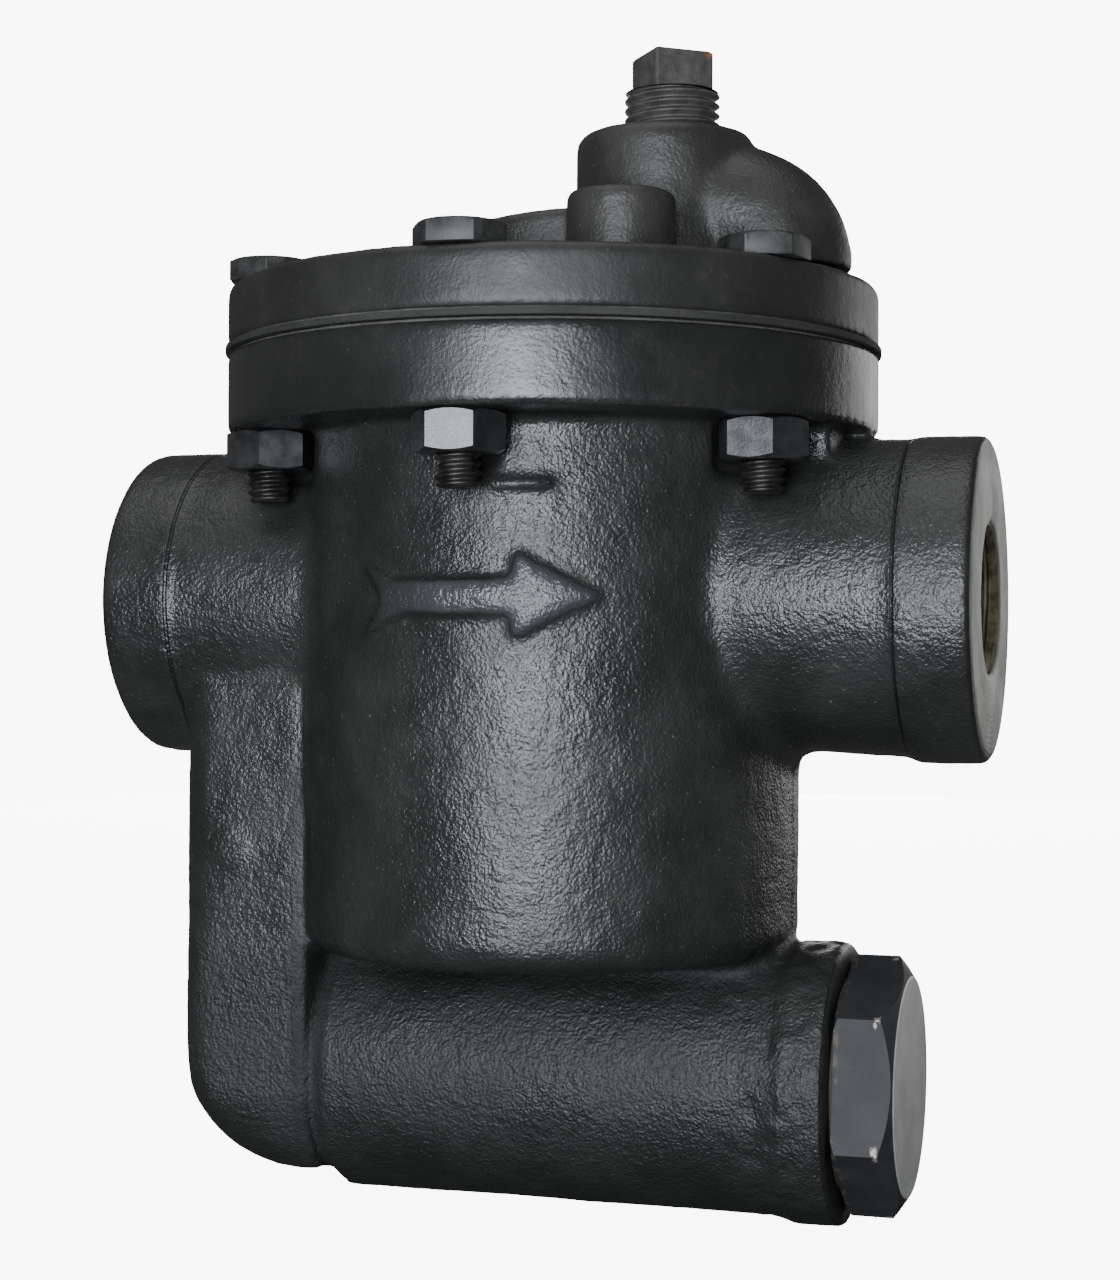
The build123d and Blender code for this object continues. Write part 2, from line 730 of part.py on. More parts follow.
with BuildPart() as lever_bracket:
    with BuildSketch(Plane.XY.offset(cap_bottom_z - bracket_thickness)):
        with Locations(((bracket_start_x + bracket_end_x) / 2, 0)):
            RectangleRounded(
                bracket_end_x - bracket_start_x,
                2 * (cheek_gap_half + bracket_thickness),
                1.2,
            )
        with Locations((valve_x, 0)):
            Circle(seat_thread_radius + 0.1, mode=Mode.SUBTRACT)
        with Locations((bracket_screw_x, 0)):
            Circle(screw_radius + 0.1, mode=Mode.SUBTRACT)
    extrude(amount=bracket_thickness)
    # two cheeks that carry the pivot pin
    for side in (-1, 1):
        with BuildSketch(Plane.XZ.offset(side * (cheek_gap_half + bracket_thickness / 2))):
            with BuildLine():
                Line((bracket_end_x, cap_bottom_z - 0.5), (bracket_end_x, pivot_z))
                ThreePointArc(
                    (bracket_end_x, pivot_z),
                    (pivot_x - 0.1, pivot_z - 3.1),
                    (cheek_front_x, pivot_z),
                )
                Polyline(
                    (cheek_front_x, pivot_z),
                    (cheek_front_x, cap_bottom_z - 0.5),
                    (bracket_end_x, cap_bottom_z - 0.5),
                )
            make_face()
            with Locations((pivot_x, pivot_z)):
                Circle(pin_radius + 0.02, mode=Mode.SUBTRACT)
        extrude(amount=bracket_thickness / 2, both=True)
hand_over(lever_bracket, "lever_bracket")

with BuildPart() as bracket_screw:
    with BuildSketch(Plane.XY.offset(cap_bottom_z - bracket_thickness)):
        with Locations((bracket_screw_x, 0)):
            Circle(screw_radius - 0.03)
    extrude(amount=screw_depth)
    with BuildSketch(Plane.XY.offset(cap_bottom_z - bracket_thickness)):
        with Locations((bracket_screw_x, 0)):
            Circle(2.7)
    extrude(amount=-1.8)
    fillet(bracket_screw.edges().sort_by(Axis.Z)[0], 0.7)
    with BuildSketch(Plane.XY.offset(cap_bottom_z - bracket_thickness - 1.8)):
        with Locations((bracket_screw_x, 0)):
            Rectangle(6, 0.7)
    extrude(amount=0.8, mode=Mode.SUBTRACT)
hand_over(bracket_screw, "bracket_screw")

with BuildPart() as pivot_pin:
    with BuildSketch(Plane.XZ):
        with Locations((pivot_x, pivot_z)):
            Circle(pin_radius)
    extrude(amount=cheek_gap_half + bracket_thickness + 0.8, both=True)
    chamfer(pivot_pin.edges().filter_by(GeomType.CIRCLE), 0.25)
hand_over(pivot_pin, "pivot_pin")

# --- lever, tilted down at rest with the valve open -------------------------
lever_frame = Plane(
    origin=(pivot_x, 0, pivot_z),
    x_dir=(-cos(lever_tilt), 0, -sin(lever_tilt)),
    z_dir=(0, 1, 0),
)
ball_place = lever_frame.from_local_coords((pivot_offset, 0, 0))
ball_frame = Plane(origin=ball_place, x_dir=lever_frame.x_dir, z_dir=lever_frame.y_dir)

with BuildPart() as lever:
    half = lever_thickness / 2
    with BuildSketch(lever_frame):
        with BuildLine():
            Polyline(
                (0, -half),
                (lever_length, -half),
                (lever_length, lever_lip_height),
                (lever_lip_start, lever_lip_height),
                (lever_lip_start, half),
                (0, half),
                close=True,
            )
        make_face()
    extrude(amount=lever_half_width, both=True)
    with BuildSketch(lever_frame):
        Circle(eye_radius)
    extrude(amount=eye_half_length, both=True)
    with BuildSketch(lever_frame):
        Circle(pin_radius + pin_clearance)
    extrude(amount=eye_half_length, both=True, mode=Mode.SUBTRACT)
    with BuildSketch(ball_frame.offset(-2)):
        Circle(1.9)
    extrude(amount=4, mode=Mode.SUBTRACT)
hand_over(lever, "lever")

with BuildPart() as valve_ball:
    with Locations(ball_frame.offset(ball_height).location):
        Sphere(ball_radius)
hand_over(valve_ball, "valve_ball")

with BuildPart() as valve_retainer:
    with BuildSketch(ball_frame.offset(half)):
        Circle(lever_half_width - 0.1)
    extrude(amount=1.8)
    with Locations(ball_frame.offset(ball_height).location):
        Sphere(ball_radius + 0.02, mode=Mode.SUBTRACT)
hand_over(valve_retainer, "valve_retainer")

# --- bucket, its clip, rivet and weight ------------------------------------
with BuildPart() as bucket:
    with BuildSketch(Plane.XY.offset(bucket_foot_z)):
        with Locations((axis_x, 0)):
            Circle(bucket_radius)
    extrude(amount=bucket_top_z - bucket_foot_z)
    fillet(bucket.edges().sort_by(Axis.Z)[-1], 3)
    offset(
        amount=-bucket_wall,
        openings=bucket.faces().sort_by(Axis.Z)[0],
    )
    with BuildSketch(Plane.XY.offset(bucket_top_z - 3)):
        with Locations((vent_x, 0)):
            Circle(vent_radius)
        with Locations((rivet_x, 0)):
            Circle(rivet_radius + 0.05)
    extrude(amount=6, mode=Mode.SUBTRACT)
hand_over(bucket, "bucket")

window_mid_z = pivot_z - (pivot_x - axis_x) * (sin(lever_tilt) / cos(lever_tilt)) / 2 - bucket_travel / 2

with BuildPart() as bucket_clip:
    clip_top_z = window_mid_z + clip_window_height / 2 + 1.8
    with BuildSketch(Plane.YZ.offset(axis_x - clip_thickness / 2)):
        with Locations((0, (bucket_top_z + clip_top_z) / 2)):
            Rectangle(2 * clip_half_width, clip_top_z - bucket_top_z)
        with Locations((0, window_mid_z)):
            Rectangle(
                2 * lever_half_width + 1.4,
                clip_window_height,
                mode=Mode.SUBTRACT,
            )
    extrude(amount=clip_thickness)
    with BuildSketch(Plane.XY.offset(bucket_top_z)):
        with Locations((axis_x + 3.9, 0)):
            Rectangle(7.8 + clip_thickness, 2 * clip_half_width)
        with Locations((rivet_x, 0)):
            Circle(rivet_radius + 0.05, mode=Mode.SUBTRACT)
    extrude(amount=clip_thickness)
hand_over(bucket_clip, "bucket_clip")

with BuildPart() as clip_rivet:
    with BuildSketch(Plane.XY.offset(bucket_top_z - bucket_wall - rivet_head_height)):
        with Locations((rivet_x, 0)):
            Circle(rivet_head_radius)
    extrude(amount=rivet_head_height)
    with BuildSketch(Plane.XY.offset(bucket_top_z - bucket_wall - 0.1)):
        with Locations((rivet_x, 0)):
            Circle(rivet_radius)
    extrude(amount=bucket_wall + clip_thickness + 0.2)
    with BuildSketch(Plane.XY.offset(bucket_top_z + clip_thickness)):
        with Locations((rivet_x, 0)):
            Circle(rivet_head_radius)
    extrude(amount=rivet_head_height)
hand_over(clip_rivet, "clip_rivet")

with BuildPart() as bucket_weight:
    with BuildSketch(Plane.XY.offset(bucket_foot_z + 0.5)):
        with Locations((axis_x, 0)):
            Circle(bucket_radius - bucket_wall - 0.03)
            Circle(bucket_radius - bucket_wall - weight_wall, mode=Mode.SUBTRACT)
    extrude(amount=weight_height)
hand_over(bucket_weight, "bucket_weight")
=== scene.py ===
"""Looks of the steam trap: cast skins, threads, materials, stage and camera. In metres, +Z up."""

import json
import math

import bmesh
import bpy
import numpy as np
from mathutils import Euler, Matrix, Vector, noise

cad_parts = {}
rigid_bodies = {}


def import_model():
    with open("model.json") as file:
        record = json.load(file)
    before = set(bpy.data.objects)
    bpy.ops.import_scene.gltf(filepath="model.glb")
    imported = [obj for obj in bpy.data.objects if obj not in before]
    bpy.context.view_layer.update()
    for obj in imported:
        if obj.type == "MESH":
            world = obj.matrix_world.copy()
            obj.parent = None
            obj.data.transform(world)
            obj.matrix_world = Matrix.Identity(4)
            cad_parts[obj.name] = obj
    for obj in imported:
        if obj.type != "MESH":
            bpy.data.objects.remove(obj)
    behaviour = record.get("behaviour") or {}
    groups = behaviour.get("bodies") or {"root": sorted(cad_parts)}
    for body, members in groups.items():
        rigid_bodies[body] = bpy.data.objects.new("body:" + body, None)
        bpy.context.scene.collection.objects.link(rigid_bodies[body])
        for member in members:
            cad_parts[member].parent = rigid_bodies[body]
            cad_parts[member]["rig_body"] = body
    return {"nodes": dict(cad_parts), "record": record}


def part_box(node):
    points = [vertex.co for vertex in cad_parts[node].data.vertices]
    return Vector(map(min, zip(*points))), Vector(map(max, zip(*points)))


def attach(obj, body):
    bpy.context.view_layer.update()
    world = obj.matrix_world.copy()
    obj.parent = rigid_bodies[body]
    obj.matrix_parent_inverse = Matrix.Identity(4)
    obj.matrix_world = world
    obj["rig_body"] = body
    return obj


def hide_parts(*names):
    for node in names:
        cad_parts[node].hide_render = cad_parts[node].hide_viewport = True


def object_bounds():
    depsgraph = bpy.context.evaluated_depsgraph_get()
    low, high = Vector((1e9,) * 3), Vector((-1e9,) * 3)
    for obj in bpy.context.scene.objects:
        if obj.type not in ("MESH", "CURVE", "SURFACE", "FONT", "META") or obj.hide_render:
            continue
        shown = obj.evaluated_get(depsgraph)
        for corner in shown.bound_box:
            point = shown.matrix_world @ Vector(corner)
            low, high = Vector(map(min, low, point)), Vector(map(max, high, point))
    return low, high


MM = 0.001
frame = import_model()
cad_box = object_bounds()
nodes = frame["nodes"]
record = frame["record"]

# --- places taken from the frame -----------------------------------------
cap_low, cap_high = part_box("cap")
body_low, body_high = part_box("trap_body")
gasket_low, gasket_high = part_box("cap_gasket")
bolts_low, bolts_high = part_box("cap_bolts")
nuts_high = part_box("cap_nuts")[1]
plug_low, plug_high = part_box("test_plug")
hex_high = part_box("strainer_plug")[1]
hex_gasket_low, hex_gasket_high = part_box("strainer_plug_gasket")

mounts = {m["name"]: m for m in record["mounts"]}
port_thread_radius = mounts["outlet"]["dims"]["r_mm"] * MM
port_thread_length = mounts["outlet"]["dims"]["length_mm"] * MM
inlet_x = mounts["inlet"]["pos_m"][0]
outlet_x = mounts["outlet"]["pos_m"][0]

axis_x = (cap_low.x + cap_high.x) / 2
flange_radius = (cap_high.x - cap_low.x) / 2
flange_bottom_z = nuts_high.z
flange_top_z = gasket_low.z
cap_bottom_z = gasket_high.z
valve_x = (plug_low.x + plug_high.x) / 2
strainer_z = (hex_gasket_low.z + hex_gasket_high.z) / 2

# --- sizes of the castings and fasteners, as in the CAD --------------------
collar_length = 10.5 * MM
chamber_radius = 31.0 * MM
chamber_floor_z = -46 * MM
barrel_radius = 36.4 * MM
leg_inner_x = axis_x - 30.5 * MM
hex_corner_radius = 18.33 * MM
bolt_circle = 41.9 * MM
bolt_head_height = 3.2 * MM
plug_head_height = 5.7 * MM
bolt_places = [
    (
        axis_x + bolt_circle * math.cos(math.radians(60 * i - 90)),
        bolt_circle * math.sin(math.radians(60 * i - 90)),
    )
    for i in range(6)
]

# --- threads, which are plain cylinders in the CAD ------------------------
port_thread_depth = 1.35 * MM
port_pitch = 1.814 * MM
bolt_crest_radius = 3.12 * MM
bolt_thread_depth = 0.62 * MM
bolt_pitch = 1.27 * MM
plug_crest_radius = 6.95 * MM
plug_thread_depth = 0.95 * MM
plug_pitch = 1.41 * MM

# --- places used by the masks ---------------------------------------------
# middle height of the arrow and the ledge together
marks_z = 4 * MM
# just past the wall of the test plug's bore
plug_bore_reach = 7.2 * MM

# the skins' mesh size, coarser while trying things
voxel = 0.55 * MM


# --- mesh helpers ---------------------------------------------------------
def link(piece):
    bpy.context.scene.collection.objects.link(piece)
    return piece


def mesh_points(mesh):
    points = np.empty(len(mesh.vertices) * 3)
    mesh.vertices.foreach_get("co", points)
    return points.reshape(-1, 3)


def set_points(mesh, points):
    mesh.vertices.foreach_set("co", points.ravel())
    mesh.update()


def mesh_normals(mesh):
    normals = np.empty(len(mesh.vertices) * 3)
    mesh.vertices.foreach_get("normal", normals)
    return normals.reshape(-1, 3)


def relax(points, edges, rounds, share=0.5):
    """Points moved towards the mean of their neighbours, round after round."""
    count = len(points)
    first, second = edges[:, 0], edges[:, 1]
    valence = np.bincount(first, minlength=count) + np.bincount(second, minlength=count)
    valence = np.maximum(valence, 1)[:, None]
    for _ in range(rounds):
        total = np.stack(
            [
                np.bincount(first, points[second, k], count) + np.bincount(second, points[first, k], count)
                for k in range(3)
            ],
            axis=1,
        )
        points = points + share * (total / valence - points)
    return points


def step(low, high, value):
    """0 below low, 1 above high, smooth between."""
    t = np.clip((value - low) / (high - low), 0, 1)
    return t * t * (3 - 2 * t)


def rough_field(points, size, seed):
    """Smooth noise of about that feature size, from -1 to 1."""
    shift = Vector((seed * 3.1, seed * 1.7, seed * 5.3))
    return np.array([noise.noise(Vector(p) / size + shift) for p in points])


def give_attribute(mesh, name, values):
    layer = mesh.attributes.new(name, "FLOAT", "POINT")
    layer.data.foreach_set("value", np.asarray(values, np.float32))


def cad_copy(node, name):
    """A copy of a CAD node in an object of its own, welded, riding where the node rides."""
    piece = link(bpy.data.objects.new(name, nodes[node].data.copy()))
    piece.data.materials.clear()
    shape = bmesh.new()
    shape.from_mesh(piece.data)
    bmesh.ops.remove_doubles(shape, verts=shape.verts, dist=0.002 * MM)
    shape.to_mesh(piece.data)
    shape.free()
    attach(piece, nodes[node]["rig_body"])
    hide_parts(node)
    return piece


def apply_modifiers(piece):
    depsgraph = bpy.context.evaluated_depsgraph_get()
    made = bpy.data.meshes.new_from_object(piece.evaluated_get(depsgraph))
    old = piece.data
    piece.modifiers.clear()
    piece.data = made
    bpy.data.meshes.remove(old)


def cast_skin(piece, fill_rounds, keep_sharp, cast_mask, bumps, raised, swept):
    """Turns a CAD copy into a cast skin: even mesh, filled creases, rough surface where cast_mask says.

    Raised places get rounder edges, and swept places get wider fillets.
    """
    skin = piece.modifiers.new("skin", "REMESH")
    skin.mode = "VOXEL"
    skin.voxel_size = voxel
    skin.use_smooth_shade = True
    apply_modifiers(piece)
    mesh = piece.data
    edges = np.empty(len(mesh.edges) * 2, dtype=np.int64)
    mesh.edges.foreach_get("vertices", edges)
    edges = edges.reshape(-1, 2)
    points = relax(mesh_points(mesh), edges, 2)
    set_points(mesh, points)
    normals = mesh_normals(mesh)
    # creases fill up as a pattern maker's fillet does; corners are rounded less
    soft = relax(points, edges, fill_rounds)
    out = ((soft - points) * normals).sum(axis=1)
    fill = np.clip(out, 0, None) * (1 - keep_sharp(points))
    softer = relax(soft, edges, 3 * fill_rounds)
    more = ((softer - points) * normals).sum(axis=1)
    fill = np.maximum(fill, np.clip(more, 0, None) * swept(points))
    trim = np.clip(out, -0.2 * MM, 0) * cast_mask(points) * 0.4
    trim = np.where(raised(points), np.clip(out, -0.6 * MM, 0) * 0.9, trim)
    points = points + normals * (fill + trim)[:, None]
    points = relax(points, edges, 1)
    set_points(mesh, points)
    normals = mesh_normals(mesh)
    mask = cast_mask(points)
    points = points + normals * (bumps(points) * mask)[:, None]
    set_points(mesh, points)
    give_attribute(mesh, "cast", mask)
    give_attribute(mesh, "recess", np.clip(out / (1.0 * MM), 0, 1))
    give_attribute(mesh, "corner", np.clip(-out / (0.8 * MM), 0, 1))
    return piece


def loft_rings(rings, segments, close_start, close_end):
    """Vertices and faces of a lofted tube. rings is a list of rows of (x, y, z), one row per ring."""
    verts = [point for ring in rings for point in ring]
    faces = []
    for row in range(len(rings) - 1):
        for k in range(segments):
            after = (k + 1) % segments
            low, high = row * segments, (row + 1) * segments
            faces.append((low + k, low + after, high + after, high + k))
    if close_start:
        faces.append(tuple(reversed(range(segments))))
    if close_end:
        faces.append(tuple(range(len(verts) - segments, len(verts))))
    return verts, faces


def thread_height(turns):
    """Height of a rounded V thread from 0 at the root to 1 at the crest, by position in turns."""
    phase = turns % 1.0
    return min(1.0, max(0.0, abs(phase * 2 - 1) * 1.3 - 0.15))


def ring_at(start, turn_to, height, radii):
    """A ring of points about an axis at that height, with a radius for each point."""
    ring = []
    for k, radius in enumerate(radii):
        angle = 2 * math.pi * k / len(radii)
        offset = Vector((radius * math.cos(angle), radius * math.sin(angle), height))
        ring.append(start + turn_to @ offset)
    return ring


def threaded_rod(name, start, end, crest, depth, pitch, segments=48, rows_per_turn=12):
    """A rod with an outside thread between two points, chamfered at its start."""
    start = Vector(start)
    along = Vector(end) - start
    turn_to = along.to_track_quat("Z", "Y")
    rows = int(along.length / pitch * rows_per_turn)
    rings = []
    for i in range(rows + 1):
        height = along.length * i / rows
        chamfer = crest - depth * 0.9 + height
        radii = []
        for k in range(segments):
            rise = thread_height(height / pitch - k / segments)
            radii.append(min(crest - depth * (1 - rise), chamfer))
        rings.append(ring_at(start, turn_to, height, radii))
    verts, faces = loft_rings(rings, segments, True, True)
    mesh = bpy.data.meshes.new(name)
    mesh.from_pydata([tuple(v) for v in verts], [], faces)
    mesh.update()
    mesh.polygons.foreach_set("use_smooth", [True] * len(mesh.polygons))
    return link(bpy.data.objects.new(name, mesh))


def threaded_bore(name, mouth, inward, root, depth, pitch, length):
    """A thin sleeve with an inside thread, from the mouth of a bore inwards, with a countersunk mouth."""
    segments = 72
    rows_per_turn = 12
    mouth = Vector(mouth)
    turn_to = Vector(inward).to_track_quat("Z", "Y")
    rows = int(length / pitch * rows_per_turn)
    rings = []
    for i in range(rows + 1):
        height = length * i / rows
        countersink = root - height * 0.9
        radii = []
        for k in range(segments):
            rise = thread_height(height / pitch - k / segments)
            radii.append(max(root - depth * rise, countersink))
        rings.append(ring_at(mouth, turn_to, height, radii))
    outside = [root + 0.3 * MM] * segments
    front = ring_at(mouth, turn_to, 0.0, outside)
    back = ring_at(mouth, turn_to, length, outside)
    verts, faces = loft_rings([front, *rings, back, front], segments, False, False)
    mesh = bpy.data.meshes.new(name)
    mesh.from_pydata([tuple(v) for v in verts], [], faces)
    shape = bmesh.new()
    shape.from_mesh(mesh)
    bmesh.ops.remove_doubles(shape, verts=shape.verts, dist=0.001 * MM)
    bmesh.ops.recalc_face_normals(shape, faces=shape.faces)
    shape.to_mesh(mesh)
    shape.free()
    mesh.polygons.foreach_set("use_smooth", [True] * len(mesh.polygons))
    return link(bpy.data.objects.new(name, mesh))


def keep_where(piece, test):
    """Deletes the vertices whose place does not pass the test."""
    shape = bmesh.new()
    shape.from_mesh(piece.data)
    gone = [v for v in shape.verts if not test(v.co)]
    bmesh.ops.delete(shape, geom=gone, context="VERTS")
    bmesh.ops.holes_fill(shape, edges=[e for e in shape.edges if e.is_boundary], sides=0)
    shape.to_mesh(piece.data)
    shape.free()


def soften(piece, width, segments=2, angle=30):
    """Small rounded edges, by modifiers, so a CAD node's own mesh stays as it is."""
    bevel = piece.modifiers.new("worn_edges", "BEVEL")
    bevel.width = width
    bevel.segments = segments
    bevel.limit_method = "ANGLE"
    bevel.angle_limit = math.radians(angle)
    bevel.harden_normals = True
    for polygon in piece.data.polygons:
        polygon.use_smooth = True
    return piece


# --- material helpers -----------------------------------------------------
class Shader:
    """A material under construction: short calls that add and join nodes."""

    def __init__(self, name):
        self.material = bpy.data.materials.new(name)
        self.material.use_nodes = True
        self.tree = self.material.node_tree
        self.tree.nodes.clear()
        self.output = self.tree.nodes.new("ShaderNodeOutputMaterial")
        self.surface = self.tree.nodes.new("ShaderNodeBsdfPrincipled")
        self.tree.links.new(self.surface.outputs["BSDF"], self.output.inputs["Surface"])
        self.place = self.tree.nodes.new("ShaderNodeTexCoord").outputs["Object"]

    def put(self, socket, value):
        if isinstance(value, bpy.types.NodeSocket):
            self.tree.links.new(value, socket)
        elif isinstance(value, tuple) and len(value) == 3 and socket.type == "RGBA":
            socket.default_value = (*value, 1)
        else:
            socket.default_value = value

    def set(self, **values):
        for name, value in values.items():
            self.put(self.surface.inputs[name.replace("_", " ")], value)

    def noise(self, size, detail=3.0, rough=0.55, place=None, distort=0.0):
        node = self.tree.nodes.new("ShaderNodeTexNoise")
        self.put(node.inputs["Vector"], place or self.place)
        self.put(node.inputs["Scale"], 1 / size)
        self.put(node.inputs["Detail"], detail)
        self.put(node.inputs["Roughness"], rough)
        self.put(node.inputs["Distortion"], distort)
        return node.outputs["Fac"]

    def cells(self, size):
        """Distance to the nearest of points scattered about that far apart, in parts of that size."""
        node = self.tree.nodes.new("ShaderNodeTexVoronoi")
        node.feature = "F1"
        self.put(node.inputs["Vector"], self.place)
        self.put(node.inputs["Scale"], 1 / size)
        return node.outputs["Distance"]

    def math(self, kind, a, b=0.0):
        node = self.tree.nodes.new("ShaderNodeMath")
        node.operation = kind
        self.put(node.inputs[0], a)
        self.put(node.inputs[1], b)
        return node.outputs[0]

    def times(self, *values):
        result = values[0]
        for value in values[1:]:
            result = self.math("MULTIPLY", result, value)
        return result

    def plus(self, *values):
        result = values[0]
        for value in values[1:]:
            result = self.math("ADD", result, value)
        return result

    def span(self, value, low, high, to_low=0.0, to_high=1.0):
        node = self.tree.nodes.new("ShaderNodeMapRange")
        node.interpolation_type = "SMOOTHSTEP"
        self.put(node.inputs["Value"], value)
        for name, number in (("From Min", low), ("From Max", high), ("To Min", to_low), ("To Max", to_high)):
            self.put(node.inputs[name], number)
        return node.outputs["Result"]

    def blend(self, share, first, second):
        node = self.tree.nodes.new("ShaderNodeMix")
        node.data_type = "RGBA"
        self.put(node.inputs["Factor"], share)
        self.put(node.inputs[6], first)
        self.put(node.inputs[7], second)
        return node.outputs[2]

    def attribute(self, name):
        node = self.tree.nodes.new("ShaderNodeAttribute")
        node.attribute_name = name
        return node.outputs["Fac"]

    def coordinate(self, letter):
        node = self.tree.nodes.new("ShaderNodeSeparateXYZ")
        self.put(node.inputs[0], self.place)
        return node.outputs[letter]

    def away_from(self, value, middle):
        """Distance along one axis from a middle value."""
        return self.math("ABSOLUTE", self.math("SUBTRACT", value, middle))

    def reach_from(self, along, middle):
        """Distance from a line parallel to one axis, through middle in the other two."""
        first, second = [letter for letter in "XYZ" if letter != along]
        a = self.math("SUBTRACT", self.coordinate(first), middle[0])
        b = self.math("SUBTRACT", self.coordinate(second), middle[1])
        return self.math("SQRT", self.plus(self.times(a, a), self.times(b, b)))

    def squeezed(self, scale):
        """The place with its height scaled up, so that a pattern is squeezed into level lines."""
        node = self.tree.nodes.new("ShaderNodeMapping")
        self.put(node.inputs["Vector"], self.place)
        node.inputs["Scale"].default_value = (1, 1, scale)
        return node.outputs["Vector"]

    def near(self, value, middle, half_width):
        """1 where the value is within half_width of the middle, fading to 0."""
        return self.span(self.away_from(value, middle), half_width * 0.5, half_width * 1.5, 1.0, 0.0)

    def bump(self, height, distance):
        node = self.tree.nodes.new("ShaderNodeBump")
        node.inputs["Strength"].default_value = 1.0
        node.inputs["Distance"].default_value = distance
        self.put(node.inputs["Height"], height)
        self.put(self.surface.inputs["Normal"], node.outputs["Normal"])


def low_down_shaded_and_coarse(s):
    """1 low down, where the paint is duller and the skin coarser, and where the colour is darkened as
    painted shade over the strainer and the leg's foot.
    """
    return s.span(s.coordinate("Z"), -54 * MM, -46 * MM, 1.0, 0.0)


def rubbed_and_lit_arrow(s):
    """1 on the raised face of the arrow, fading out towards its tail: rubbed paint, and a painted highlight
    on the head and shaft.
    """
    x = s.coordinate("X")
    # measured from a line just upstream of the axis, so that the tail counts as less proud
    reach = s.reach_from("Z", (axis_x - 0.9 * MM, 0))
    proud = s.span(reach, barrel_radius + 0.6 * MM, barrel_radius + 1.0 * MM)
    level = s.near(s.coordinate("Z"), marks_z, 14 * MM)
    front = s.span(s.coordinate("Y"), -10 * MM, -5 * MM, 1.0, 0.0)
    across = s.span(s.away_from(x, axis_x), 20 * MM, 22 * MM, 1.0, 0.0)
    clear_of_tail = s.span(x, axis_x - 17 * MM, axis_x - 3 * MM)
    return s.times(proud, level, front, across, clear_of_tail)


def dull_and_shaded_coat(s, low_down):
    """How dull the paint is on the leg's inner edge, in the crease beside it and under the barrel, and how
    far painted shade darkens it there.
    """
    x = s.coordinate("X")
    z = s.coordinate("Z")
    below_neck = s.span(z, -26 * MM, -20 * MM, 1.0, 0.0)
    leg_edge = s.times(s.near(x, leg_inner_x - 1.5 * MM, 1.4 * MM), below_neck, 0.6)
    crease = s.times(s.near(x, leg_inner_x + 0.9 * MM, 1.0 * MM), low_down, 0.85)
    past_leg = s.span(x, leg_inner_x, leg_inner_x + 2 * MM)
    # a band of painted shade under the barrel, over the strainer
    under_barrel = s.times(s.near(z, -52.3 * MM, 2.0 * MM), past_leg, 0.75)
    return s.math("MAXIMUM", s.math("MAXIMUM", leg_edge, crease), under_barrel)


def collar_lines(s):
    """1 on the thin lines where the ports' collars begin."""
    x = s.coordinate("X")
    inlet_line = s.near(x, inlet_x + collar_length, 0.22 * MM)
    outlet_line = s.near(x, outlet_x - collar_length, 0.22 * MM)
    return s.math("MAXIMUM", inlet_line, outlet_line)


